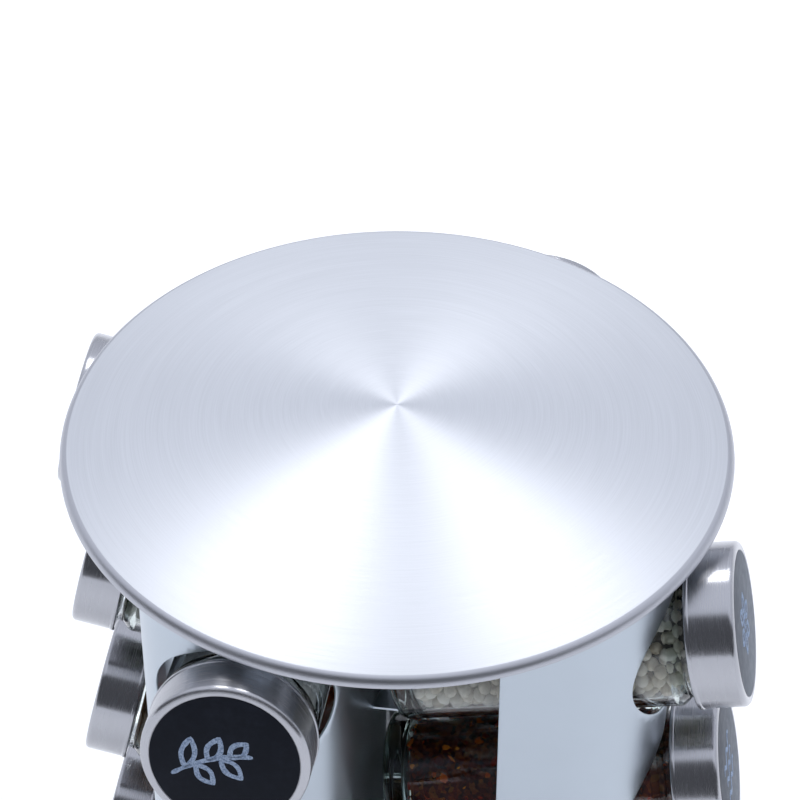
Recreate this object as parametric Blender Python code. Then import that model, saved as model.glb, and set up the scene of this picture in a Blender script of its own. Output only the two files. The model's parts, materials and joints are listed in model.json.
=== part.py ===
"""Revolving spice carousel.

Four bent steel panels stand in a pinwheel between a round floor and a domed top disc.
Each panel has a column of holes, and a lidded glass jar lies in each hole, tipped up
towards its lid. The whole tower turns on a ball bearing over a low round base.
The frame's origin is on the table, under the tower's axis, and the front column faces -Y.
"""
import math

import bmesh
import bpy
from mathutils import Matrix

MM = 0.001
GAP = 0.3 * MM

# Tower
RIM_RADIUS = 99.7 * MM
RIM_HEIGHT = 285.9 * MM
DOME_HEIGHT = 15.1 * MM
EDGE_RADIUS = 2.6 * MM
DISC_THICKNESS = 1 * MM
COLUMNS = {"right": 0, "front": -90, "left": 180, "back": 90}
TIERS = 4
TIER_PITCH = 62.1 * MM
TOP_TIER_DROP = 51.1 * MM
JAR_TILT = math.radians(12.5)
JAR_OFFSET = 33.4 * MM

# Jar, measured along its axis from the middle of its base
JAR_START = 5.5 * MM
JAR_RADIUS = 22.9 * MM
JAR_SHOULDER = 83 * MM
NECK_START = 87 * MM
NECK_RADIUS = 20.6 * MM
NECK_BORE = 18.3 * MM
JAR_MOUTH = 99.8 * MM
JAR_WALL = 2.2 * MM
JAR_FLOOR = 5.5 * MM
LID_START = 89.3 * MM
LID_TOP = 103.7 * MM
LID_RADIUS = 24.4 * MM

# Side panels
SHEET = 0.8 * MM
PANEL_NEAR_WIDTH = 32.9 * MM
PANEL_FAR_WIDTH = 29.2 * MM
PANEL_REACH = 86.2 * MM
PANEL_CORNER = 29 * MM
PANEL_FLANK_INSET = 38.7 * MM
PANEL_OVER_RIM = 1.1 * MM
RETURN_LENGTH = 35.4 * MM
RETURN_ANGLE = math.radians(82.5)
HOLE_RADIUS = 25.6 * MM
HOLE_RISE = 0.7 * MM
LEDGE_DEPTH = 15 * MM
LEDGE_START = 27 * MM
LEDGE_END = 40 * MM
LEDGE_DROP = 20.9 * MM

# Base and bearing
BASE_RADIUS = 80 * MM
BASE_TOP = 14 * MM
BASE_LIFT = 1.8 * MM
BASE_SHEET = 1.2 * MM
FOOT_HEIGHT = 1.5 * MM
RACE_RADIUS = 52 * MM
RACE_HALF_WIDTH = 8 * MM
RACE_HEIGHT = 3 * MM
RACE_SPACING = 2 * MM
GROOVE_DEPTH = 1.4 * MM
GROOVE_HALF_WIDTH = 1.6 * MM
BALL_RADIUS = 1.9 * MM
FLOOR_TOP = 23.6 * MM
FLOOR_EDGE_BOTTOM = 16.6 * MM
ROD_RADIUS = 4 * MM
ROD_HEAD_RADIUS = 9 * MM
ROD_HEAD_HEIGHT = 3 * MM
ROD_HOLE = ROD_RADIUS + GAP

ROUND_SEGMENTS = 40
JAR_SEGMENTS = 16
SHARP_ANGLE = math.radians(35)

# name: base colour, metallic, roughness, transmission
MATERIALS = {
    "disc_steel": ((0.80, 0.81, 0.84), 1.0, 0.30, 0.0),
    "panel_steel": ((0.74, 0.77, 0.80), 1.0, 0.25, 0.0),
    "lid_steel": ((0.66, 0.65, 0.67), 1.0, 0.28, 0.0),
    "base_steel": ((0.72, 0.73, 0.75), 1.0, 0.32, 0.0),
    "bearing_steel": ((0.55, 0.56, 0.58), 1.0, 0.40, 0.0),
    "jar_glass": ((0.86, 0.93, 0.90), 0.0, 0.03, 0.9),
    "sifter_plastic": ((0.90, 0.90, 0.88), 0.0, 0.45, 0.0),
    "foot_rubber": ((0.03, 0.03, 0.03), 0.0, 0.80, 0.0),
}


def clear_scene():
    for item in list(bpy.data.objects):
        bpy.data.objects.remove(item)


def make_material(name):
    color, metallic, roughness, transmission = MATERIALS[name]
    material = bpy.data.materials.new(name)
    material.use_nodes = True
    shader = material.node_tree.nodes["Principled BSDF"]
    shader.inputs["Base Color"].default_value = (*color, 1.0)
    shader.inputs["Metallic"].default_value = metallic
    shader.inputs["Roughness"].default_value = roughness
    shader.inputs["Transmission Weight"].default_value = transmission
    return material


def arc(center, radius, start, end, steps):
    """Points on a circular arc, from one angle to another in degrees."""
    points = []
    for step in range(steps + 1):
        angle = math.radians(start + (end - start) * step / steps)
        points.append((center[0] + radius * math.cos(angle), center[1] + radius * math.sin(angle)))
    return points


def finish_mesh(work, name):
    bmesh.ops.recalc_face_normals(work, faces=work.faces)
    mesh = bpy.data.meshes.new(name)
    work.to_mesh(mesh)
    work.free()
    mesh.shade_smooth()
    mesh.set_sharp_from_angle(angle=SHARP_ANGLE)
    return mesh


def turned(name, profile, segments):
    """Spin a profile of (radius, height) points round Z. It closes on itself off the axis."""
    work = bmesh.new()
    verts = [work.verts.new((radius, 0, height)) for radius, height in profile]
    edges = [work.edges.new(pair) for pair in zip(verts, verts[1:])]
    if profile[0][0] > 0:
        edges.append(work.edges.new((verts[-1], verts[0])))
    bmesh.ops.spin(work, geom=verts + edges, axis=(0, 0, 1), cent=(0, 0, 0),
                   steps=segments, angle=math.tau, use_merge=True)
    bmesh.ops.remove_doubles(work, verts=work.verts, dist=0.001 * MM)
    return finish_mesh(work, name)


def extruded(name, outlines, bottoms, height):
    """Prisms of one height: each outline of (x, y) points stands on its own bottom level."""
    work = bmesh.new()
    for outline, bottom in zip(outlines, bottoms):
        face = work.faces.new([work.verts.new((x, y, bottom)) for x, y in outline])
        raised = bmesh.ops.extrude_face_region(work, geom=[face])["geom"]
        moved = [item for item in raised if isinstance(item, bmesh.types.BMVert)]
        bmesh.ops.translate(work, vec=(0, 0, height), verts=moved)
    return finish_mesh(work, name)


def add_object(name, mesh, material, parent=None, location=(0, 0, 0)):
    """A new object. Repeated pieces share their mesh, and so its one material."""
    item = bpy.data.objects.new(name, mesh)
    bpy.context.scene.collection.objects.link(item)
    if material and not mesh.materials:
        mesh.materials.append(material)
    item.parent = parent
    item.location = location
    return item


def add_empty(name, parent=None):
    empty = bpy.data.objects.new(name, None)
    bpy.context.scene.collection.objects.link(empty)
    empty.parent = parent
    return empty


def dome_height(radius):
    """Height of the top disc's upper face over its rim, out to where the edge rolls over."""
    edge = RIM_RADIUS - EDGE_RADIUS
    rise = DOME_HEIGHT - EDGE_RADIUS
    return EDGE_RADIUS + rise * (1 - (radius / edge) ** 2)


def rolled_edge(top, bottom):
    """Profile of a disc's edge: it rolls over, hangs down to the bottom and turns back up inside."""
    middle = (RIM_RADIUS - EDGE_RADIUS, top - EDGE_RADIUS)
    outside = arc(middle, EDGE_RADIUS, 70, 0, 3)
    inside = arc(middle, EDGE_RADIUS - DISC_THICKNESS, 0, 70, 2)
    tip = (RIM_RADIUS - DISC_THICKNESS / 2, bottom - DISC_THICKNESS / 4)
    lip = [(RIM_RADIUS, bottom), tip, (RIM_RADIUS - DISC_THICKNESS, bottom)]
    if top - EDGE_RADIUS == bottom:
        lip = [tip]
    return outside + lip + inside


def make_top_disc(parent, material):
    """Shallow dome with a rolled edge, and a blind boss underneath for the centre rod."""
    boss_radius = 7 * MM
    boss_bottom = 4 * MM
    boss_hole_top = DOME_HEIGHT - 3.7 * MM
    rings = [40 * MM, 76 * MM]
    outside = [(0, DOME_HEIGHT)] + [(radius, dome_height(radius)) for radius in rings]
    inside = [(radius, dome_height(radius) - DISC_THICKNESS) for radius in reversed(rings)]
    boss = [(boss_radius, dome_height(boss_radius) - DISC_THICKNESS), (boss_radius, boss_bottom),
            (ROD_HOLE, boss_bottom), (ROD_HOLE, boss_hole_top), (0, boss_hole_top)]
    profile = outside + rolled_edge(EDGE_RADIUS, 0) + inside + boss
    mesh = turned("top_disc", profile, ROUND_SEGMENTS)
    add_object("top_disc", mesh, material, parent, (0, 0, RIM_HEIGHT))


def make_floor(parent, material):
    """Flat round floor that the panels stand on, with the same rolled edge as the top disc."""
    under = FLOOR_TOP - DISC_THICKNESS
    profile = [(ROD_HOLE, FLOOR_TOP)] + rolled_edge(FLOOR_TOP, FLOOR_EDGE_BOTTOM) + [(ROD_HOLE, under)]
    add_object("carousel_floor", turned("carousel_floor", profile, ROUND_SEGMENTS), material, parent)


def make_centre_rod(parent, material):
    """Rod from the base to the top disc. Its head sits under the base's top plate."""
    head_top = BASE_TOP - BASE_SHEET - GAP
    head_bottom = head_top - ROD_HEAD_HEIGHT
    rod_top = RIM_HEIGHT + DOME_HEIGHT - 4.2 * MM
    profile = [(0, rod_top), (ROD_RADIUS, rod_top), (ROD_RADIUS, head_top),
               (ROD_HEAD_RADIUS, head_top), (ROD_HEAD_RADIUS, head_bottom), (0, head_bottom)]
    add_object("centre_rod", turned("centre_rod", profile, JAR_SEGMENTS), material, parent)


def make_base(material, rubber):
    """Low drum of pressed sheet with an inward flange, on a rubber ring."""
    bevel = 3 * MM
    inner = BASE_RADIUS - BASE_SHEET
    under = BASE_TOP - BASE_SHEET
    flange_radius = 64 * MM
    pivot_hole = ROD_RADIUS + 1 * MM
    flange_top = BASE_LIFT + BASE_SHEET
    profile = [(pivot_hole, BASE_TOP), (BASE_RADIUS - bevel, BASE_TOP), (BASE_RADIUS, BASE_TOP - bevel),
               (BASE_RADIUS, BASE_LIFT + 1 * MM), (BASE_RADIUS - 1 * MM, BASE_LIFT),
               (flange_radius, BASE_LIFT), (flange_radius, flange_top), (inner, flange_top),
               (inner, BASE_TOP - bevel), (inner - bevel + BASE_SHEET, under), (pivot_hole, under)]
    add_object("base_shell", turned("base_shell", profile, ROUND_SEGMENTS), material)
    foot_inner = 66 * MM
    foot_outer = 77 * MM
    taper = 0.5 * MM
    foot = [(foot_inner, FOOT_HEIGHT), (foot_outer, FOOT_HEIGHT), (foot_outer - taper, 0), (foot_inner + taper, 0)]
    add_object("foot_ring", turned("foot_ring", foot, ROUND_SEGMENTS), rubber)


def race_profile(back, face):
    """A flat ring whose face has a groove for the balls. Back and face are its two levels."""
    groove = face + math.copysign(GROOVE_DEPTH, back - face)
    return [(RACE_RADIUS - RACE_HALF_WIDTH, back), (RACE_RADIUS + RACE_HALF_WIDTH, back),
            (RACE_RADIUS + RACE_HALF_WIDTH, face), (RACE_RADIUS + GROOVE_HALF_WIDTH, face),
            (RACE_RADIUS, groove), (RACE_RADIUS - GROOVE_HALF_WIDTH, face),
            (RACE_RADIUS - RACE_HALF_WIDTH, face)]


def make_bearing(carousel, material):
    """Lower race on the base, upper race under the floor, and the ring of balls between them."""
    segments = 24
    lower_back = BASE_TOP + GAP
    lower_face = lower_back + RACE_HEIGHT
    upper_face = lower_face + RACE_SPACING
    upper_back = upper_face + RACE_HEIGHT
    lower = turned("bearing_lower_race", race_profile(lower_back, lower_face), segments)
    upper = turned("bearing_upper_race", race_profile(upper_back, upper_face), segments)
    ball_ring = arc((RACE_RADIUS, (lower_face + upper_face) / 2), BALL_RADIUS, 90, 390, 5)
    balls = turned("bearing_ball_ring", ball_ring, segments)
    add_object("bearing_lower_race", lower, material)
    add_object("bearing_ball_ring", balls, material)
    add_object("bearing_upper_race", upper, material, carousel)


def panel_path(inset):
    """The right panel's bent sheet seen from above, at one depth inside its outer face."""
    corner_x = PANEL_REACH - PANEL_CORNER
    near_y = -JAR_OFFSET - (PANEL_NEAR_WIDTH - PANEL_CORNER)
    far_y = -JAR_OFFSET + (PANEL_FAR_WIDTH - PANEL_CORNER)
    radius = PANEL_CORNER - inset
    steps = 6
    near = arc((corner_x, near_y), radius, -90, 0, steps)
    far = arc((corner_x, far_y), radius, 0, math.degrees(RETURN_ANGLE), steps)
    start = (PANEL_FLANK_INSET, near[0][1])
    end = (far[-1][0] - RETURN_LENGTH * math.sin(RETURN_ANGLE),
           far[-1][1] + RETURN_LENGTH * math.cos(RETURN_ANGLE))
    return [start] + near + far + [end]


def ledge_outline():
    """A jar ledge seen from above: it starts inside the sheet of the panel's return."""
    bend, end = panel_path(SHEET / 2)[-2:]
    slope = (end[1] - bend[1]) / (end[0] - bend[0])
    root = [(x, end[1] + slope * (x - end[0])) for x in (LEDGE_START, LEDGE_END)]
    return [root[0], root[1], (LEDGE_END, LEDGE_DEPTH), (LEDGE_START, LEDGE_DEPTH)]


def tier_height(tier):
    """Height at which a tier's jar axes cross the planes through the tower's axis."""
    return RIM_HEIGHT - TOP_TIER_DROP - TIER_PITCH * tier


def jar_point(along, tier, rise=0.0):
    """A point on a right-hand jar's axis, or raised off it."""
    return (along * math.cos(JAR_TILT), -JAR_OFFSET,
            tier_height(tier) + along * math.sin(JAR_TILT) + rise)


def make_hole_cutter():
    """One cylinder along each jar axis, all in one object."""
    work = bmesh.new()
    length = 60 * MM
    middle = 85 * MM
    for tier in range(TIERS):
        turn = Matrix.Rotation(math.pi / 2 - JAR_TILT, 4, "Y")
        place = Matrix.Translation(jar_point(middle, tier, HOLE_RISE)) @ turn
        bmesh.ops.create_cone(work, cap_ends=True, segments=20, radius1=HOLE_RADIUS,
                              radius2=HOLE_RADIUS, depth=length, matrix=place)
    return add_guide("hole_cutter", finish_mesh(work, "hole_cutter"))


def add_guide(name, mesh):
    guide = add_object(name, mesh, None)
    guide.hide_render = True
    guide.display_type = "WIRE"
    return guide


def add_boolean(item, operation, guide):
    modifier = item.modifiers.new(guide.name, "BOOLEAN")
    modifier.operation = operation
    modifier.solver = "EXACT"
    modifier.object = guide


def make_panels(parent, material):
    """Bend, hole and ledge the right panel, then stand a copy of it on each side."""
    bottom = FLOOR_TOP + GAP
    top = RIM_HEIGHT + PANEL_OVER_RIM
    outline = panel_path(0) + list(reversed(panel_path(SHEET)))
    mesh = extruded("blank_panel", [outline], [bottom], top - bottom)
    blank = add_object("blank_panel", mesh, None)
    levels = [tier_height(tier) - LEDGE_DROP - SHEET for tier in range(TIERS)]
    ledges = add_guide("jar_ledges", extruded("jar_ledges", [ledge_outline()] * TIERS, levels, SHEET))
    add_boolean(blank, "UNION", ledges)
    add_boolean(blank, "DIFFERENCE", make_hole_cutter())
    shaped = blank.evaluated_get(bpy.context.evaluated_depsgraph_get())
    panel = bpy.data.meshes.new_from_object(shaped)
    panel.materials.clear()
    for guide in (blank, ledges, bpy.data.objects["hole_cutter"]):
        bpy.data.objects.remove(guide)
    for side, angle in COLUMNS.items():
        copy = add_object(side + "_panel", panel, material, parent)
        copy.rotation_euler = (0, 0, math.radians(angle))


def glass_profile():
    foot = 2.5 * MM
    bore = JAR_RADIUS - JAR_WALL
    return [(0, 0), (JAR_RADIUS - foot, 0), (JAR_RADIUS, foot), (JAR_RADIUS, JAR_SHOULDER),
            (NECK_RADIUS, NECK_START), (NECK_RADIUS, JAR_MOUTH), (NECK_BORE, JAR_MOUTH),
            (NECK_BORE, NECK_START), (bore, JAR_SHOULDER), (bore, JAR_FLOOR + foot),
            (bore - foot, JAR_FLOOR), (0, JAR_FLOOR)]


def lid_profile():
    rounding = 1.4 * MM
    bore = NECK_RADIUS + 0.8 * MM
    ceiling = LID_TOP - 2 * MM
    return [(0, LID_TOP), (LID_RADIUS - rounding, LID_TOP), (LID_RADIUS, LID_TOP - rounding),
            (LID_RADIUS, LID_START), (bore, LID_START), (bore, ceiling), (0, ceiling)]


def sifter_profile():
    """A shallow plug: its flange rests on the glass, and its skirt goes into the neck."""
    flange_bottom = JAR_MOUTH + GAP
    flange_top = flange_bottom + 1 * MM
    skirt = NECK_BORE - 0.8 * MM
    skirt_bottom = JAR_MOUTH - 5 * MM
    wall = 1 * MM
    return [(0, flange_top), (NECK_RADIUS - GAP, flange_top), (NECK_RADIUS - GAP, flange_bottom),
            (skirt, flange_bottom), (skirt, skirt_bottom), (skirt - wall, skirt_bottom),
            (skirt - wall, flange_bottom - GAP), (0, flange_bottom - GAP)]


def make_jars(parent, materials):
    """A glass jar, a sifter and a lid for every hole, each set on an empty at the jar's base."""
    glass = turned("jar", glass_profile(), JAR_SEGMENTS)
    lid = turned("lid", lid_profile(), JAR_SEGMENTS)
    sifter = turned("sifter", sifter_profile(), 12)
    for side, angle in COLUMNS.items():
        for tier in range(TIERS):
            label = "{}_{}_{}".format(side, "{}", tier + 1)
            seat = add_empty(label.format("seat"), parent)
            turn = Matrix.Rotation(math.radians(angle), 4, "Z")
            tilt = Matrix.Rotation(math.pi / 2 - JAR_TILT, 4, "Y")
            seat.matrix_local = turn @ Matrix.Translation(jar_point(JAR_START, tier)) @ tilt
            add_object(label.format("jar"), glass, materials["jar_glass"], seat)
            add_object(label.format("sifter"), sifter, materials["sifter_plastic"], seat)
            add_object(label.format("lid"), lid, materials["lid_steel"], seat)


def main():
    clear_scene()
    materials = {name: make_material(name) for name in MATERIALS}
    carousel = add_empty("carousel")
    make_base(materials["base_steel"], materials["foot_rubber"])
    make_bearing(carousel, materials["bearing_steel"])
    make_floor(carousel, materials["base_steel"])
    make_centre_rod(carousel, materials["bearing_steel"])
    make_panels(carousel, materials["panel_steel"])
    make_top_disc(carousel, materials["disc_steel"])
    make_jars(carousel, materials)


main()
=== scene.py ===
import json
import math

import bmesh
import bpy
import numpy as np
from mathutils import Matrix, Vector
from mathutils.geometry import delaunay_2d_cdt


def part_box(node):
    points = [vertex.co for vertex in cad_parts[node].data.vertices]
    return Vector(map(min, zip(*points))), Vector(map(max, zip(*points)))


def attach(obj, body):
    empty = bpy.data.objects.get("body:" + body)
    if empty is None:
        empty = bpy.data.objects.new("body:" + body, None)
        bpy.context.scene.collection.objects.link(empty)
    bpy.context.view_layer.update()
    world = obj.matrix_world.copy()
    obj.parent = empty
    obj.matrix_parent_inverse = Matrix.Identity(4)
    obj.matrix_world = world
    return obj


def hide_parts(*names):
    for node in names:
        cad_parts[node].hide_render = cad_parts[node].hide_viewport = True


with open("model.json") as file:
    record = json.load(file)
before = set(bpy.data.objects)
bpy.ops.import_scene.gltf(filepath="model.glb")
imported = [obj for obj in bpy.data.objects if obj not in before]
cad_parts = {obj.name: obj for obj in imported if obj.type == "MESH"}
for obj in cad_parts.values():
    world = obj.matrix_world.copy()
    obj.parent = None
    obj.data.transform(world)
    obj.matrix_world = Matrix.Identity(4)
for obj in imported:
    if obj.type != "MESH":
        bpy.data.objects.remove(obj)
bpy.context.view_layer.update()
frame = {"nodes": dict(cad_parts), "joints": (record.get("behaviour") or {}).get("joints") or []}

MM = 0.001

# Sheet and edge of the top disc and the floor
LIP_ROUND = 0.25 * MM
DISC_SHEET = 1 * MM
EDGE_ROLL = 3.3 * MM
DOME_INSET = 2.6 * MM
# Width of the band round the rim whose steel is painted darker: painted shade for the dark band
# along the rolled edge
EDGE_SHADE_WIDTH = 2.3 * MM

# Where things are, read from the frame
RIM_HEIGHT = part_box("top_disc")[0].z + LIP_ROUND
DISC_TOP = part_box("top_disc")[1].z
RIM_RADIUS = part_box("top_disc")[1].x
FLOOR_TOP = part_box("carousel_floor")[1].z
FLOOR_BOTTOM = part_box("carousel_floor")[0].z
PANEL_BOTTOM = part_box("right_panel")[0].z
PANEL_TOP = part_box("right_panel")[1].z
PANEL_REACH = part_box("right_panel")[1].x
BASE_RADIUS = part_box("base_shell")[1].x
BASE_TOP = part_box("base_shell")[1].z
BASE_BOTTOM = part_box("base_shell")[0].z
SLIDES = [joint for joint in frame["joints"] if joint["type"] == "slide"]
AXES = {joint["child"]: Vector(joint["axis"]) for joint in SLIDES}
JAR_TILT = math.asin(AXES["right_1_jar"].z)
SIDES = {"right": 0, "front": -90, "left": 180, "back": 90}
TIERS = range(1, 5)

# Jar and lid sizes; heights are along the jar's axis from its base
JAR_RADIUS = 22.9 * MM
JAR_WALL = 2.2 * MM
JAR_FLOOR = 5.5 * MM
NECK_RADIUS = 20.6 * MM
NECK_BORE = 18.3 * MM
SHOULDER = 83 * MM
NECK_START = 87 * MM
MOUTH = 99.8 * MM
LID_START = 89.3 * MM
LID_TOP = 103.7 * MM
LID_RADIUS = 24.4 * MM
LABEL_RADIUS = 21.3 * MM

# Side panels
SHEET = 0.8 * MM
PANEL_CORNER = 29 * MM
PANEL_NEAR_WIDTH = 32.9 * MM
PANEL_FAR_WIDTH = 29.2 * MM
PANEL_FLANK_INSET = 38.7 * MM
RETURN_LENGTH = 35.4 * MM
RETURN_ANGLE = math.radians(82.5)
HOLE_RADIUS = 25.6 * MM
HOLE_RISE = 0.7 * MM
LEDGE_ROOT = 8 * MM
LEDGE_DEPTH = 15 * MM
LEDGE_START = 27 * MM
LEDGE_END = 40 * MM
LEDGE_DROP = 20.9 * MM

ROUND = 192


# ---- mesh helpers

def new_object(name, data):
    made = bpy.data.objects.new(name, data)
    bpy.context.scene.collection.objects.link(made)
    return made


def loose_mesh(name, verts, faces):
    mesh = bpy.data.meshes.new(name)
    mesh.from_pydata(verts, [], faces)
    mesh.shade_smooth()
    return mesh


def make_mesh(name, verts, faces, sharp=40):
    """A smooth-shaded mesh with its faces pointing out."""
    work = bmesh.new()
    points = [work.verts.new(vert) for vert in verts]
    for face in faces:
        work.faces.new([points[index] for index in face])
    bmesh.ops.recalc_face_normals(work, faces=work.faces)
    mesh = bpy.data.meshes.new(name)
    work.to_mesh(mesh)
    work.free()
    mesh.shade_smooth()
    mesh.set_sharp_from_angle(angle=math.radians(sharp))
    return mesh


def rounded(corners, steps=5):
    """Profile points from (radius, height, fillet) corners, with an arc at each fillet."""
    points = []
    for index, (radius, height, fillet) in enumerate(corners):
        here = Vector((radius, height))
        if not fillet:
            points.append(tuple(here))
            continue
        before = (Vector(corners[index - 1][:2]) - here).normalized()
        after = (Vector(corners[(index + 1) % len(corners)][:2]) - here).normalized()
        half = before.angle(after) / 2
        start = here + before * fillet / math.tan(half)
        middle = here + (before + after).normalized() * fillet / math.sin(half)
        spoke = start - middle
        sweep = math.pi - 2 * half
        if before.x * after.y - before.y * after.x > 0:
            sweep = -sweep
        for step in range(steps + 1):
            turn = Matrix.Rotation(sweep * step / steps, 2)
            points.append(tuple(middle + turn @ spoke))
    return points


def turned(name, profile, segments=ROUND, ripple=None):
    """Turn a profile round Z. It closes on itself unless it starts and ends on the axis."""
    verts = []
    rings = []
    for radius, height in profile:
        count = segments if radius > 1e-7 else 1
        rings.append(range(len(verts), len(verts) + count))
        for step in range(count):
            angle = math.tau * step / segments
            grown = radius + (ripple(height, angle) if ripple and count > 1 else 0)
            verts.append((grown * math.cos(angle), grown * math.sin(angle), height))
    faces = []
    pairs = list(zip(rings, rings[1:]))
    if profile[0][0] > 1e-7:
        pairs.append((rings[-1], rings[0]))
    for low, high in pairs:
        for step in range(segments):
            after = (step + 1) % segments
            face = [low[step % len(low)], low[after % len(low)],
                    high[after % len(high)], high[step % len(high)]]
            faces.append(list(dict.fromkeys(face)))
    return make_mesh(name, verts, faces)


def second_material(mesh, chosen):
    """Give the second of a piece's two materials to the faces whose centres are chosen."""
    for face in mesh.polygons:
        if chosen(*face.center):
            face.material_index = 1


def add_piece(name, mesh, body, materials, nodes=(), place=None):
    """A piece that rides on a body. Its materials sit on the object, so pieces may share a mesh."""
    piece = new_object(name, mesh)
    while len(mesh.materials) < len(materials):
        mesh.materials.append(None)
    for index, material in enumerate(materials):
        piece.material_slots[index].link = "OBJECT"
        piece.material_slots[index].material = material
    if place is not None:
        piece.matrix_world = place
    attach(piece, body)
    if nodes:
        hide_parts(*nodes)
    return piece


def side_turn(side):
    return Matrix.Rotation(math.radians(SIDES[side]), 4, "Z")


def jar_base(side, tier):
    """The middle of a jar's underside, read from its CAD node."""
    axis = AXES[f"{side}_{tier}_jar"]
    points = [vert.co for vert in frame["nodes"][f"{side}_jar_{tier}"].data.vertices]
    lowest = min(point.dot(axis) for point in points)
    ring = {tuple(round(value, 7) for value in point)
            for point in points if point.dot(axis) < lowest + 0.01 * MM}
    return sum((Vector(point) for point in ring), Vector()) / len(ring)


def jar_place(side, tier):
    """From a jar's own frame, with Z along its axis and -X upwards, to the row frame."""
    turn = Matrix.Rotation(math.pi / 2 - JAR_TILT, 4, "Y")
    return Matrix.Translation(jar_base(side, tier)) @ side_turn(side) @ turn


# ---- materials

class Nodes:
    """A node tree, with short calls to add and join nodes."""

    def __init__(self, tree):
        self.tree = tree

    def node(self, kind, **values):
        made = self.tree.nodes.new("ShaderNode" + kind)
        for key, value in values.items():
            if hasattr(made, key):
                setattr(made, key, value)
            else:
                made.inputs[key.replace("_", " ")].default_value = value
        return made

    def join(self, source, output, target, socket):
        self.tree.links.new(source.outputs[output], target.inputs[socket])

    def math(self, operation, first, second):
        """A Math node on two values, each a number or a (node, output) pair."""
        made = self.node("Math", operation=operation)
        for index, value in enumerate((first, second)):
            if isinstance(value, tuple):
                self.join(*value, made, index)
            else:
                made.inputs[index].default_value = value
        return made, "Value"

    def mapped(self, source, *limits):
        """Map a value from one range onto another."""
        made = self.node("MapRange")
        for socket, value in zip(("From Min", "From Max", "To Min", "To Max"), limits):
            made.inputs[socket].default_value = value
        self.join(*source, made, "Value")
        return made, "Result"


class Look(Nodes):
    """A material's nodes. Sources are (node, output) pairs."""

    def __init__(self, name, color, metallic, roughness, **settings):
        self.material = bpy.data.materials.new(name)
        self.material.use_nodes = True
        super().__init__(self.material.node_tree)
        self.shader = self.tree.nodes["Principled BSDF"]
        self.shader.inputs["Base Color"].default_value = (*color, 1)
        self.shader.inputs["Metallic"].default_value = metallic
        self.shader.inputs["Roughness"].default_value = roughness
        for key, value in settings.items():
            self.shader.inputs[key.replace("_", " ")].default_value = value

    def noise(self, scale, detail=3, source=None):
        made = self.node("TexNoise", Scale=scale, Detail=detail)
        self.join(*(source or (self.node("TexCoord"), "Object")), made, "Vector")
        return made, "Fac"

    def spread(self, source, low, high):
        """Map a noise value onto a range."""
        return self.mapped(source, 0.25, 0.75, low, high)

    def ramp(self, source, stops):
        made = self.node("ValToRGB")
        ramp = made.color_ramp
        while len(ramp.elements) < len(stops):
            ramp.elements.new(0.5)
        for element, (place, color) in zip(ramp.elements, stops):
            element.position = place
            element.color = (*color, 1)
        self.join(*source, made, "Fac")
        return made, "Color"

    def bump(self, source, distance, strength=1.0, under=None):
        made = self.node("Bump", Distance=distance, Strength=strength)
        self.join(*source, made, "Height")
        if under:
            self.join(*under, made, "Normal")
        return made, "Normal"

    def color(self, source, stops):
        self.join(*self.ramp(source, stops), self.shader, "Base Color")

    def rough(self, source, low, high):
        self.join(*self.spread(source, low, high), self.shader, "Roughness")

    def relief(self, *bump):
        self.join(*self.bump(*bump), self.shader, "Normal")

    def turning_grain(self, fine, sweep):
        """Noise in rings round the object's own Z axis: fine across the rings, slow along them."""
        split = self.node("SeparateXYZ")
        self.join(self.node("TexCoord"), "Object", split, "Vector")
        flat = self.node("CombineXYZ")
        self.join(split, "X", flat, "X")
        self.join(split, "Y", flat, "Y")
        length = self.node("VectorMath", operation="LENGTH")
        self.join(flat, "Vector", length, 0)
        heading = self.node("VectorMath", operation="NORMALIZE")
        self.join(flat, "Vector", heading, 0)
        along = self.node("VectorMath", operation="SCALE", Scale=sweep)
        self.join(heading, "Vector", along, 0)
        across = self.math("MULTIPLY", self.math("ADD", (length, "Value"), (split, "Z")), fine)
        lifted = self.node("CombineXYZ")
        self.join(*across, lifted, "Z")
        total = self.node("VectorMath", operation="ADD")
        self.join(along, "Vector", total, 0)
        self.join(lifted, "Vector", total, 1)
        return total, "Vector"


def turned_steel(name, color, roughness, anisotropy, grain):
    """Steel brushed in circles round its own axis: fine scratches over faint wider rings."""
    look = Look(name, color, 1.0, roughness,
                Anisotropic=anisotropy, Anisotropic_Rotation=0.25)
    tangent = look.node("Tangent", direction_type="RADIAL", axis="Z")
    look.join(tangent, "Tangent", look.shader, "Tangent")
    scratches = look.noise(1.0, 2, look.turning_grain(grain, 2.5))
    rings = look.noise(1.0, 2, look.turning_grain(grain * 0.12, 0.8))
    look.rough(scratches, roughness - 0.04, roughness + 0.04)
    fine = look.bump(scratches, 0.0016 * MM)
    look.relief(rings, 0.004 * MM, 0.5, fine)
    dark = tuple(value * 0.95 for value in color)
    light = tuple(min(1.0, value * 1.03) for value in color)
    look.color(scratches, [(0.3, dark), (0.7, light)])
    return look.material


def rolled_steel(name, color, roughness):
    """Sheet steel with a faint upright grain and soft handling marks."""
    look = Look(name, color, 1.0, roughness, Anisotropic=0.3)
    coordinates = look.node("TexCoord")
    stretch = look.node("Mapping", Scale=(1800, 1800, 25))
    look.join(coordinates, "Object", stretch, "Vector")
    grain = look.noise(1.0, 2, (stretch, "Vector"))
    smudge = look.noise(38, 4)
    look.rough(smudge, roughness - 0.02, roughness + 0.02)
    look.relief(grain, 0.003 * MM, 0.8)
    dark = tuple(value * 0.975 for value in color)
    look.color(smudge, [(0.35, dark), (0.6, color)])
    return look.material


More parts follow.
